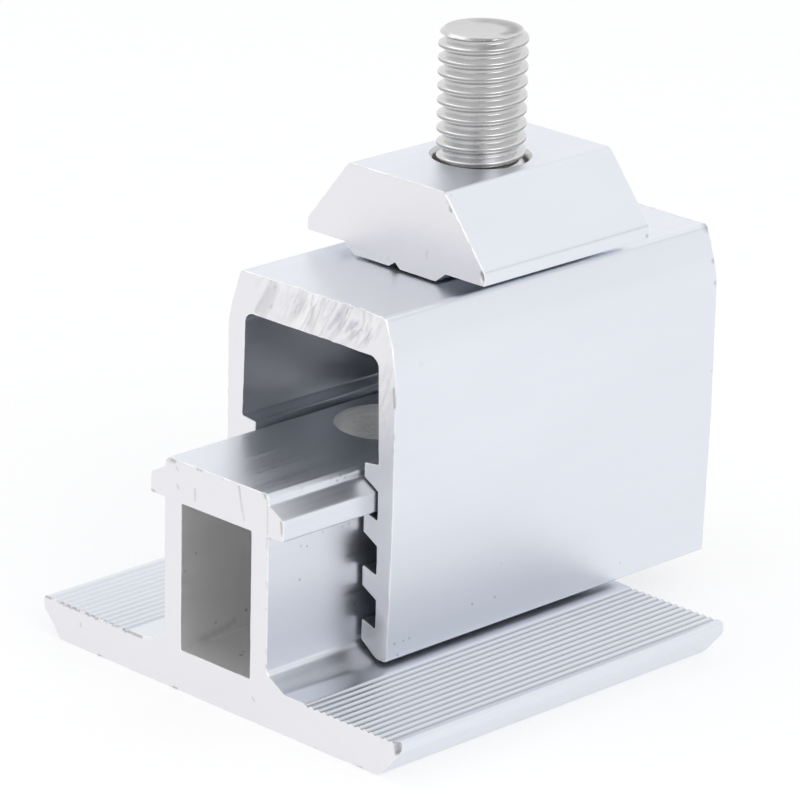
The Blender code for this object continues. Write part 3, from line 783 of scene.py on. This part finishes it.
# Base rail
baseLow, baseHigh = (np.array(corner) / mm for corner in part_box("base_rail"))
base = {
    "soleHalf": 19.8,
    "tipHeight": 1.1,
    "wingThickness": 3.6,
    "ribPitch": 0.8,
    "ribCount": 13,
    "ribSteps": 10,
    "ribDepth": 0.18,
    "grimeAndShade": (0.6, 0.08),  # share of painted shade in the grooves of the right and left wings
    "tipStrip": 0.7,
    "rampWidth": 2.25,
    "rampHeight": 1.25,
    "boxHalf": 6.35,
    "edgeBreak": 0.35,
    "lipHalf": 8.15,
    "lipUnderside": 17.15,
    "lipFaceTop": 19.0,
    "lipRoot": 19.95,
    "hollowHalf": 4.3,
    "hollowLow": 3.8,
    "hollowTop": 17.1,
    "soleRound": 0.9,
    "tipRounds": (0.7, 0.35),
    "rampRounds": (1.4, 0.7),
    "fineRound": 0.15,
    "arcStep": 15,
    "longestStep": 0.3,
    "grain": 0.14,
    "edgeRound": 0.07,
    "fade": 0.6,
    "stations": (0.15, 0.3, 0.5, 0.8, 1.3, 2.2, 4, 8, 14),
    "seed": 21,
    "swell": 0.02,
    "nibble": 0.008,
    "torn": (
        # middle x, middle z, half width, half height, depth, share of it that is ridged
        (
            (22.2, 3.4, 0.55, 1.1, 0.5, 0.2), (5.75, 20.8, 0.3, 0.35, 0.16, 0.2),
            (-5.6, 20.9, 0.9, 0.5, 0.14, 0.6), (2.8, 20.3, 0.14, 1.4, 0.05, 0.0),
            (3.2, 18.6, 0.1, 1.6, 0.035, 0.0), (-2.6, 18.4, 0.12, 0.7, 0.03, 0.0),
            (-16, 3.5, 4.5, 0.3, 0.06, 0.4),
        ),
        ((-21.9, 3.3, 0.5, 0.9, 0.3, 0.4), (3.5, 20.7, 2.5, 0.5, 0.12, 0.7), (14, 3.5, 5, 0.3, 0.06, 0.4)),
    ),
    "stainsAndShade": (
        # start x, z, end x, z, half width, darkness
        (
            (2.7, 20.7, 2.96, 19.4, 0.13, 0.5), (2.96, 19.4, 3.41, 17.8, 0.12, 0.35),
            (-2.63, 18.9, -2.63, 17.9, 0.12, 0.4), (-4.8, 18.6, -4.7, 18.4, 0.16, 0.35),
            (5.7, 20.8, 6.0, 20.5, 0.16, 0.6), (-5.7, 20.7, -5.2, 20.6, 0.14, 0.6),
            (-5.0, 20.2, -4.8, 20.0, 0.12, 0.35), (-2.4, 20.75, -1.8, 20.75, 0.13, 0.65),
            (0.6, 20.75, 0.9, 20.75, 0.1, 0.4), (7.85, 18.9, 8.0, 17.8, 0.15, 0.65),
            (-8.1, 17.3, -7.7, 17.25, 0.16, 0.6), (6.25, 17.0, 6.25, 16.0, 0.12, 0.5),
            (6.24, 20.3, 6.24, 17.4, 0.1, 0.3), (21.5, 3.6, 22.2, 3.5, 0.2, 0.8),
            (21.8, 3.4, 21.9, 2.7, 0.28, 0.85), (6.25, 15.3, 6.25, 14.9, 0.1, 0.5),
            (6.25, 13.1, 6.25, 12.6, 0.12, 0.6), (6.25, 10.9, 6.25, 10.7, 0.1, 0.5),
            (6.25, 7.0, 6.25, 6.7, 0.12, 0.6), (6.3, 5.6, 6.4, 5.4, 0.12, 0.6),
            (4.7, 2.2, 4.9, 2.0, 0.14, 0.35), (-14.9, 0.1, -14.5, 0.1, 0.12, 0.6),
            (-5.2, 0.1, -4.7, 0.1, 0.14, 0.7), (12.3, 0.1, 12.6, 0.1, 0.12, 0.6),
            (17.2, 0.1, 18.0, 0.1, 0.14, 0.6), (-17.2, 2.4, -17.1, 2.1, 0.14, 0.3),
            (-21.8, 3.6, -21.2, 3.6, 0.25, 0.7), (-20.1, 3.6, -17.4, 3.5, 0.2, 0.75),
            (-16.6, 3.5, -15.0, 3.5, 0.18, 0.7), (-14.2, 3.6, -12.4, 3.5, 0.16, 0.6),
            (-11.6, 3.5, -9.3, 3.5, 0.18, 0.8),
        ),
        ((12.3, 3.5, 13.6, 3.5, 0.14, 0.5), (-7.9, 18.4, -7.6, 17.8, 0.12, 0.4)),
    ),
    "specks": (
        # x, y, z, radius, darkness
        (6.35, -16.2, 15.4, 0.18, 0.6), (6.35, -15.5, 15.2, 0.18, 0.8),
        (6.35, -16.3, 12.4, 0.2, 0.8), (6.35, -13.7, 16.0, 0.16, 0.5),
        (6.35, -11.4, 15.9, 0.16, 0.5), (6.35, -10.6, 16.0, 0.2, 0.5), (6.35, -9.8, 8.5, 0.3, 0.4),
        (6.35, -16.2, 20.5, 0.3, 0.25), (6.4, -12.8, 20.6, 0.35, 0.3),
        (6.4, -12.1, 20.2, 0.22, 0.7), (6.35, -11.7, 20.6, 0.3, 0.5),
        (6.35, -11.2, 20.3, 0.18, 0.6),
    ),
    "hole": {
        "x": 0, "y": 0, "radius": 4.5, "low": 15.6, "bottom": 17.1, "top": 20.85, "high": 22.4,
        "rows": 60, "columns": 96, "flares": (0.2, 0.18), "chatter": 0.05, "seed": 31,
    },
}


# The wing's top from the tip inwards: a row of rounded grooves, z = top - depth / 2 * (1 - cos(turns))
def ribRun(s, span):
    outer = span - s["tipStrip"]
    turns = np.arange(s["ribCount"] * s["ribSteps"] + 1) / s["ribSteps"]
    height = s["wingThickness"] - s["ribDepth"] / 2 * (1 - np.cos(2 * np.pi * turns))
    return np.stack([outer - turns * s["ribPitch"], height], 1)


# The rail's section is the outline of a grooved wing and half the box, mirrored, with the hollow inside it.
# Painted shade darkens the grooves as 1.6 * depth - 0.4, where 1 is the depth of their middle.
def makeBase(s):
    span, top = baseHigh[0], baseHigh[2]
    ribs = ribRun(s, span)
    tip = [
        (0, 0, 0),
        (s["soleHalf"], 0, s["soleRound"]),
        (span, s["wingThickness"] - s["tipHeight"], s["tipRounds"][0]),
        (span, s["wingThickness"], s["tipRounds"][1]),
        (*ribs[0], 0),
    ]
    box = [
        (*ribs[-1], 0),
        (s["boxHalf"] + s["rampWidth"], s["wingThickness"], s["rampRounds"][0]),
        (s["boxHalf"], s["wingThickness"] + s["rampHeight"], s["rampRounds"][1]),
        (s["boxHalf"], s["lipUnderside"], s["fineRound"]),
        (s["lipHalf"], s["lipUnderside"], s["fineRound"]),
        (s["lipHalf"], s["lipFaceTop"], s["fineRound"]),
        (s["boxHalf"], s["lipRoot"], s["fineRound"]),
        (s["boxHalf"], top - s["edgeBreak"], s["fineRound"]),
        (s["boxHalf"] - s["edgeBreak"], top, s["fineRound"]),
        (0, top, 0),
    ]
    hollow = [
        (0, s["hollowTop"], 0),
        (s["hollowHalf"], s["hollowTop"], s["fineRound"]),
        (s["hollowHalf"], s["hollowLow"], s["fineRound"]),
        (0, s["hollowLow"], 0),
    ]
    tip, box, hollow = (roundedRun(run, s["arcStep"]) for run in (tip, box, hollow))
    runs = [np.vstack([tip, ribs[1:-1], box]), hollow]
    loops = [mirroredLoop(resampled(run, s["longestStep"])) for run in runs]
    shape = sweepBar(loops, (skinIndex, hollowIndex), baseLow[1], baseHigh[1], s)
    vertices, marks = shape[0], shape[3]
    across, sunk = vertices[:, 0], (s["wingThickness"] - vertices[:, 2]) / s["ribDepth"]
    ribbed = (np.abs(across) < ribs[0, 0]) & (np.abs(across) > ribs[-1, 0]) & (sunk < 1.01)
    # Painted shade in the grooves, stronger on the right wing than on the left
    grooveShadeShare = np.where(across > 0, s["grimeAndShade"][0], s["grimeAndShade"][1])
    marks["groove"] = np.where(ribbed, grooveShadeShare * np.clip(1.6 * sunk - 0.4, 0, 1), 0)
    addBar("ribbedRail", "rail", shape, s, "base", "base_rail")


makeBase(base)

# Riser channel
riserLow, riserHigh = (np.array(corner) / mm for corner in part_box("riser_channel"))
riser = {
    "legWall": 1.85,
    "legDraft": 0.37,
    "draftHeight": 13.0,
    "web": 3.65,
    "shoulderDrop": 4.3,
    "shoulderInset": 1.44,
    "shoulderRadius": 10.0,
    "crownRadius": 0.5,
    "cavityTaper": 0.25,
    "cavityCorner": 1.0,
    "toothTip": 6.7,
    "firstTip": 19.9653,
    "toothPitch": 4.9,
    "toothCount": 4,
    "toothSlant": 0.9,
    "toothHeight": 1.8847,
    "barbRise": 0.5,
    "shelfHeight": 1.3,
    "shelfSlant": 0.2,
    "footRise": 0.1,
    "footRound": 0.35,
    "fineRound": 0.15,
    "arcStep": 6,
    "longestStep": 0.3,
    "grain": 0.13,
    "edgeRound": 0.09,
    "fade": 0.6,
    "stations": (0.15, 0.3, 0.5, 0.8, 1.3, 2.2, 4, 8, 14),
    "seed": 45,
    "swell": 0.03,
    "nibble": 0.012,
    "torn": (
        (
            (1.0, 33.6, 8.2, 3.2, 0.4, 0.9), (4.6, 33.6, 2.8, 2.6, 0.2, 1.0),
            (9.2, 28.0, 0.9, 5.5, 0.08, 0.45), (9.2, 33.0, 0.9, 2.0, 0.15, 0.5),
        ),
        (
            (-3.5, 33.5, 6.5, 3.0, 0.36, 1.0), (5.2, 33.4, 3.2, 2.2, 0.2, 1.0),
            (9.2, 26.0, 0.9, 6.0, 0.06, 0.7),
        ),
    ),
    "stainsAndShade": (
        (
            (-4.7, 33.9, -6.0, 31.4, 0.75, 0.26), (-5.3, 33.6, -6.7, 31.3, 0.35, 0.34),
            (-4.64, 33.9, -4.7, 33.75, 0.16, 0.5), (-4.95, 32.2, -5.05, 32.0, 0.18, 0.4),
            (3.7, 34.2, 3.0, 32.2, 0.4, 0.26), (4.7, 32.3, 4.3, 31.6, 0.2, 0.22),
            (10.0, 28.6, 10.15, 27.0, 0.22, 0.75), (9.55, 33.4, 9.95, 31.4, 0.12, 0.4),
            (10.15, 24.6, 10.15, 24.2, 0.16, 0.45), (10.15, 23.4, 10.15, 23.0, 0.14, 0.35),
            # The last two marks, 3.2 and 2.2 mm wide on the right leg's face, are painted shade: the face
            # darker towards its foot
            (7.6, 12.8, 8.0, 13.4, 0.12, 0.3), (8.7, 27.5, 8.3, 6.0, 3.2, 0.15),
            (8.0, 6.8, 8.1, 4.4, 2.2, 0.6),
        ),
        ((6.6, 34.2, 7.3, 32.4, 0.4, 0.3),),
    ),
    "specks": (
        (9.88, -8.4, 5.54, 0.19, 0.8), (9.88, -7.35, 5.53, 0.17, 0.7),
        (9.88, -6.65, 5.56, 0.18, 0.7), (9.85, -8.0, 4.4, 0.21, 0.8), (9.92, 0.9, 6.7, 0.19, 0.8),
        (9.92, 3.7, 6.6, 0.19, 0.8), (10.0, 4.3, 9.6, 0.16, 0.4), (9.89, 19.7, 5.6, 0.2, 0.35),
        (10.2, -6.2, 30.2, 0.5, 0.12), (1.2, 30.7, 34.5, 0.7, 0.3), (2.4, 30.7, 34.5, 0.6, 0.4),
        (5.3, 30.7, 34.5, 0.8, 0.4), (6.8, 30.7, 34.5, 0.7, 0.4), (8.9, 30.6, 34.3, 0.85, 0.65),
        (9.75, 30.5, 31.35, 0.4, 0.6), (10.1, 30.5, 29.4, 0.36, 0.6),
        (10.1, 30.5, 21.2, 0.25, 0.45),
    ),
    "hole": {
        "x": 0, "y": 10.7, "radius": 4.5, "low": 29.4, "bottom": 30.85, "top": 34.5, "high": 36.0,
        "rows": 60, "columns": 96, "flares": (0.2, 0.2), "chatter": 0.03, "seed": 32,
    },
}


# Inner face of the right leg from the shelf down: each tooth has an upright tip, each but the first a top
# that rises to its tip, and each but the last a slanting underside. The last one ends at the foot.
def toothCorners(s, cavityHalf, foot):
    tips = s["firstTip"] - np.arange(s["toothCount"]) * s["toothPitch"]
    shelf = s["firstTip"] + s["shelfHeight"]
    corners = [(cavityHalf, shelf + s["shelfSlant"]), (s["toothTip"], shelf)]
    for index, tip in enumerate(tips):
        if index > 0:
            hookTop = tip + s["toothHeight"]
            corners += [(cavityHalf, hookTop - s["barbRise"]), (s["toothTip"], hookTop)]
        ending = foot + s["footRise"] if index == s["toothCount"] - 1 else tip - s["toothSlant"]
        corners += [(s["toothTip"], tip), (cavityHalf, ending)]
    return [(*corner, s["fineRound"]) for corner in corners]


# The riser's section is the inside of its web and leg, round the foot, and back up outside over the shoulder
def makeRiser(s):
    half, foot, top = riserHigh[0], riserLow[2], riserHigh[2]
    cavityHalf = half - s["legWall"]
    legEnd = (cavityHalf + half) / 2
    section = [
        (0, top - s["web"], 0),
        (cavityHalf - s["cavityTaper"], top - s["web"], s["cavityCorner"]),
        *toothCorners(s, cavityHalf, foot),
        (legEnd - s["legWall"] / 4, foot, s["fineRound"]),
        (half - s["legDraft"], foot, s["footRound"]),
        (half, foot + s["draftHeight"], 0),
        (half, top - s["shoulderDrop"], s["shoulderRadius"]),
        (half - s["shoulderInset"], top, s["crownRadius"]),
        (0, top, 0),
    ]
    loop = mirroredLoop(resampled(roundedRun(section, s["arcStep"]), s["longestStep"]))
    shape = sweepBar([loop], (skinIndex,), riserLow[1], riserHigh[1], s)
    addBar("toothedRiser", "riser", shape, s, "riser", "riser_channel")


makeRiser(riser)

# Clamp cap
capLow, capHigh = (np.array(corner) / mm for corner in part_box("clamp_cap"))
cap = {
    "topHalf": 5.75,
    "edgeHeight": 1.15,
    "landHalf": 4.95,
    "landDrop": 0.9,
    "stepRun": 1.15,
    "grooveHalf": 0.7,
    "grooveDepth": 0.47,
    "round": 0.6,
    "grooveRound": 0.08,
    "stepRound": 0.35,
    "fineRound": 0.15,
    "arcStep": 10,
    "longestStep": 0.3,
    "grain": 0.14,
    "edgeRound": 0.08,
    "fade": 0.6,
    "stations": (0.15, 0.3, 0.5, 0.8, 1.3, 2.2, 4, 7),
    "seed": 77,
    "swell": 0.02,
    "nibble": 0.008,
    "torn": (
        (
            (6.2, 41.7, 0.3, 0.4, 0.12, 0.2), (10.5, 36.3, 0.25, 0.5, 0.15, 0.2),
            (-2, 35.2, 3.5, 0.4, 0.05, 0.15),
        ),
        ((-6, 41.8, 1.2, 0.6, 0.12, 0.7), (4, 35.3, 3.0, 0.4, 0.08, 0.4)),
    ),
    "stainsAndShade": (
        (
            (6.3, 41.6, 6.6, 41.3, 0.16, 0.7), (7.6, 40.5, 7.8, 40.2, 0.09, 0.4),
            (8.9, 38.9, 9.1, 38.6, 0.09, 0.4), (10.35, 36.8, 10.5, 36.2, 0.2, 0.95),
            (3.9, 37.2, 3.8, 36.5, 0.12, 0.25),
        ),
        (),
    ),
    "specks": ((6.1, 1.0, 42.5, 0.2, 0.5), (10.65, 20.60, 35.95, 0.3, 0.7)),
    "hole": {
        "x": 0, "y": 10.7, "radius": 4.17, "low": 33.2, "bottom": 34.7, "top": 42.8, "high": 44.2,
        "rows": 110, "columns": 96, "flares": (0.2, 0.3), "chatter": 0.02, "seed": 33,
    },
}


# The cap's section is its underside with the V groove, the land and the wing, and back over the sloping top
def makeCap(s):
    half, land, top = capHigh[0], capLow[2], capHigh[2]
    underside = land + s["landDrop"]
    section = [
        (0, land + s["grooveDepth"], 0),
        (s["grooveHalf"], land, s["grooveRound"]),
        (s["landHalf"], land, s["fineRound"]),
        (s["landHalf"] + s["stepRun"], underside, s["stepRound"]),
        (half, underside, s["fineRound"]),
        (half, underside + s["edgeHeight"], s["round"]),
        (s["topHalf"], top, s["round"]),
        (0, top, 0),
    ]
    loop = mirroredLoop(resampled(roundedRun(section, s["arcStep"]), s["longestStep"]))
    shape = sweepBar([loop], (skinIndex,), capLow[1], capHigh[1], s)
    addBar("wedgeCap", "cap", shape, s, "cap", "clamp_cap")


makeCap(cap)

# Bolt
boltLow, boltHigh = (np.array(corner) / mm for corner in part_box("clamp_bolt"))
bolt = {
    "y": 10.7,
    "columns": 120,
    "crestRadius": 3.88,
    "pitch": 1.25,
    "phase": -0.25,
    "threadDepth": 0.56,
    "crestShare": 0.22,
    "rootShare": 0.22,
    "bendReach": 0.035,  # turns to either side over which the thread's bends are rounded
    "rowsPerTurn": 30,
    "runOut": 1.0,
    "pointChamfer": 0.46,
    "pointEdge": 0.12,  # width of the rounded rim of the point's face
    "edgeDrops": (0.005, 0.02),  # how far that rim and the first row of the chamfer lie below the top
    "pointSink": 0.1,
    "pointRows": 13,
    "fillet": 0.4,
    "headRadius": 6.5,
    "headHeight": 8.0,
    "headRound": 0.25,
    "headChamfer": 0.7,
    "seatRows": 5,
    "sideRows": 14,
    "knurls": 48,
    "knurlDepth": 0.12,
    "knurlEnds": (0.5, 0.2),  # plain strips above and below the knurls
    # how much darker the knurls are towards the bottom of their grooves
    "knurlGrooveDarkening": 0.5,
    "socketFlats": 6.0,
    "socketDepth": 4.0,
    "socketChamfer": 0.18,
    # Bands of painted shade and painted highlight: strength, middle, half width and plateau. The middle is in
    # turns from the crest's on the thread, in mm below the top and radians round under the rim, and in shares
    # of the radius on the face.
    # The crest's band is partly a duller rolled crest and partly painted shade
    "crest": (0.75, 0, 0.22 / 3, 1.5),
    # Painted shade in the thread's roots
    "root": (0.25, 0.5, 0.08, 1.75),
    # Painted highlights: on the lower flanks, and in lines beside each crest, partly wear
    "lowerFlankHighlight": (0.4, -0.25, 0.12, 1.2),
    "crestEdgeHighlight": (1, 0.12, 0.04, 1.2),
    "aboveCrestHighlight": 0.3,  # strength of the painted highlight line on the crest's other edge
    # Painted shadow under the point's rim, at one place round it
    "underRimShadow": (0.9, 0.2, 0.15, 1),
    "rimShadowTurn": (1, 5.59, 0.17, 2),
    "faceDull": 0.15,
    "swirl": (1, 0.76, 0.15, 1.6),
    "swirlTurn": 1.3,  # radians round to its middle
    "swirlReach": 1.8,
    "swirlWaves": (3, 0.4, 2.5),  # noise cells across the face, their lean, and cells to a radian round it
    "seed": 90,
}


# A band of shade: strength * (plateau - |value - middle| / half width), with the bracket kept between 0 and 1
def bandOf(value, strength, middle, halfWidth, plateau):
    return strength * np.clip(plateau - np.abs(value - middle) / halfWidth, 0, 1)


# Depth of the thread as a share of its full depth: 0 on the crest, a straight flank, and 1 in the root. A
# mean over five places close together rounds the bends.
def threadShare(away, s):
    start, end = s["crestShare"] / 2, 0.5 - s["rootShare"] / 2
    nearby = away + np.linspace(-s["bendReach"], s["bendReach"], 5)[:, None, None]
    return np.clip((nearby - start) / (end - start), 0, 1).mean(0)


# One stretch of the bolt's skin: its radius, height, and shares of dullness and painted shade and of wear and
# painted highlight, each over its rows and all columns
def stretchOf(s, radius, height, dullAndShade=0, wearAndHighlight=0):
    shape = len(radius), s["columns"]
    parts = np.reshape(radius, (len(radius), -1)), np.reshape(height, (-1, 1)), dullAndShade, wearAndHighlight
    return np.stack([np.broadcast_to(part, shape) for part in parts])


# The thread: radius = crest - depth * share(height / pitch - angle / one turn), which makes the helix
# right-handed. It is cut to a cone at the point and runs out above the head. Its crests are darker, partly a
# duller rolled crest and partly painted shade; its roots carry painted shade, one place under the point's rim
# a painted shadow, and the edges beside each crest and the lower flanks painted highlights, partly wear.
def threadSkin(s, angles, seat, top):
    crest = s["crestRadius"]
    rows = int((top - seat) / s["pitch"] * s["rowsPerTurn"])
    height = np.linspace(top - s["edgeDrops"][1], seat + s["fillet"], rows)[:, None]
    turns = (height - seat) / s["pitch"] - angles / (2 * np.pi) + s["phase"]
    fromCrest = (turns + 0.5) % 1 - 0.5
    away = np.abs(fromCrest)
    share = threadShare(away, s) * np.clip((height - seat - s["fillet"]) / s["runOut"], 0, 1)
    cut = crest - s["threadDepth"] * share
    chamfered = np.minimum(crest, crest - s["pointChamfer"] + (top - height))
    whole = chamfered >= cut
    # darker crests, partly duller steel and partly painted shade, and painted shade in the roots
    dullAndShade = np.where(whole, bandOf(away, *s["crest"]) + bandOf(away, *s["root"]), 0)
    # painted shadow under the point's rim
    dullAndShade = dullAndShade + bandOf(top - height, *s["underRimShadow"]) * bandOf(angles, *s["rimShadowTurn"])
    # painted highlights: lines beside each crest, partly wear, and the lower flanks
    crestEdgeHighlight = np.where(fromCrest > 0, s["aboveCrestHighlight"], 1) * bandOf(away, *s["crestEdgeHighlight"])
    wearAndHighlight = np.where(whole, np.maximum(crestEdgeHighlight, bandOf(fromCrest, *s["lowerFlankHighlight"])), 0)
    return stretchOf(s, np.minimum(cut, chamfered), height, dullAndShade, wearAndHighlight)


# The point's face sinks towards its middle by sink * (1 - r^2)^0.8, with a darker swirl on one side of it
def pointSkin(s, angles, top):
    out = np.concatenate([np.linspace(0, 0.93, s["pointRows"]), [1.0]])
    faceRadius = s["crestRadius"] - s["pointChamfer"] - s["pointEdge"]
    sunk = s["pointSink"] * np.clip(1 - out ** 2, 0, 1) ** 0.8
    waves, lean, turned = s["swirlWaves"]
    noise = latticeNoise(out[:, None] * waves + angles * lean, angles * turned, s["seed"])
    oneSide = np.clip(s["swirlReach"] * np.cos(angles - s["swirlTurn"]), 0, 1)
    swirl = np.clip(bandOf(out[:, None], *s["swirl"]) * oneSide * (0.9 + 0.6 * noise), 0, 1)
    face = stretchOf(s, out * faceRadius, top - sunk, s["faceDull"] + (1 - s["faceDull"]) * swirl)
    rimRadius = faceRadius + s["pointEdge"] * np.array((1, 2)) / 3
    return np.concatenate([face, stretchOf(s, rimRadius, top - s["edgeDrops"][0])], 1)


# From the fillet under the thread over the head's rounded shoulder, its knurled side and its chamfer. The
# knurls are ridges whose depth is a triangle wave of the angle, and they are darker towards the bottom of
# each groove.
def headSkin(s, angles, bottom, seat):
    head, rounding, chamfer = s["headRadius"], s["headRound"], s["headChamfer"]
    bend = np.radians((30, 60, 90))
    filletRadius = s["crestRadius"] + s["fillet"] * (1 - np.cos(bend))
    filletHeight = seat + s["fillet"] * (1 - np.sin(bend))
    seatRadius = np.linspace(filletRadius[-1], head - rounding, s["seatRows"])[1:]
    shoulderRadius = head - rounding + rounding * np.sin(bend)
    shoulderHeight = seat - rounding * (1 - np.cos(bend))
    side = np.linspace(seat - s["knurlEnds"][0], bottom + chamfer + s["knurlEnds"][1], s["sideRows"])
    ridge = np.abs((angles * s["knurls"] / (2 * np.pi) + 0.5) % 1 - 0.5) * 2
    ridges = np.outer([0] + [1] * (len(side) - 2) + [0], ridge)
    rim = np.array((0, 0.5, 1)) * chamfer
    return np.concatenate([
        stretchOf(s, filletRadius, filletHeight),
        stretchOf(s, seatRadius, seat),
        stretchOf(s, shoulderRadius, shoulderHeight),
        stretchOf(s, head - s["knurlDepth"] * ridges, side, s["knurlGrooveDarkening"] * ridges),
        stretchOf(s, head - rim, bottom + chamfer - rim),
    ], 1)


# The hexagon socket: radius = apothem / cos(angle from the nearest flat's middle), with a chamfered mouth and
# a bottom that closes on the axis
def socketSkin(s, angles, bottom):
    apothem, mouth, depth = s["socketFlats"] / 2, s["socketChamfer"], s["socketDepth"]
    hexagon = apothem / np.cos((angles + np.pi / 6) % (np.pi / 3) - np.pi / 6)
    rimRadius = s["headRadius"] - s["headChamfer"]
    radius = [(rimRadius + hexagon + mouth) / 2, hexagon + mouth, hexagon]
    radius += [hexagon * share for share in (1, 1, 1, 1, 0.5, 0)]  # down the flats, and in to the axis
    depths = np.array((0, 0, mouth, 0.4, 1.5, 3.0, depth - 0.7, depth - 0.3, depth))
    return stretchOf(s, np.array(radius), bottom + depths)


# The bolt is one skin, whose radius is a function of the row and the angle. Its rows run from the point down
# the thread, over the head, and up the socket.
def makeBolt(s):
    angles = np.arange(s["columns"]) * 2 * np.pi / s["columns"]
    top, bottom = boltHigh[2], boltLow[2]
    seat = bottom + s["headHeight"]
    stretches = [
        pointSkin(s, angles, top),
        threadSkin(s, angles, seat, top),
        headSkin(s, angles, bottom, seat),
        socketSkin(s, angles, bottom),
    ]
    radius, height, dullAndShade, wearAndHighlight = np.concatenate(stretches, 1)
    grid = np.stack([radius * np.cos(angles), s["y"] + radius * np.sin(angles), height], -1)
    indices = np.zeros((len(grid) - 1) * s["columns"])
    mesh = closedGrid("threadedBolt", grid, indices, {"dullAndShade": dullAndShade, "wearAndHighlight": wearAndHighlight}, [steel])
    addPiece("threadedBolt", mesh, "bolt", "clamp_bolt", 50)


makeBolt(bolt)

bpy.context.scene.view_settings.view_transform = "Standard"
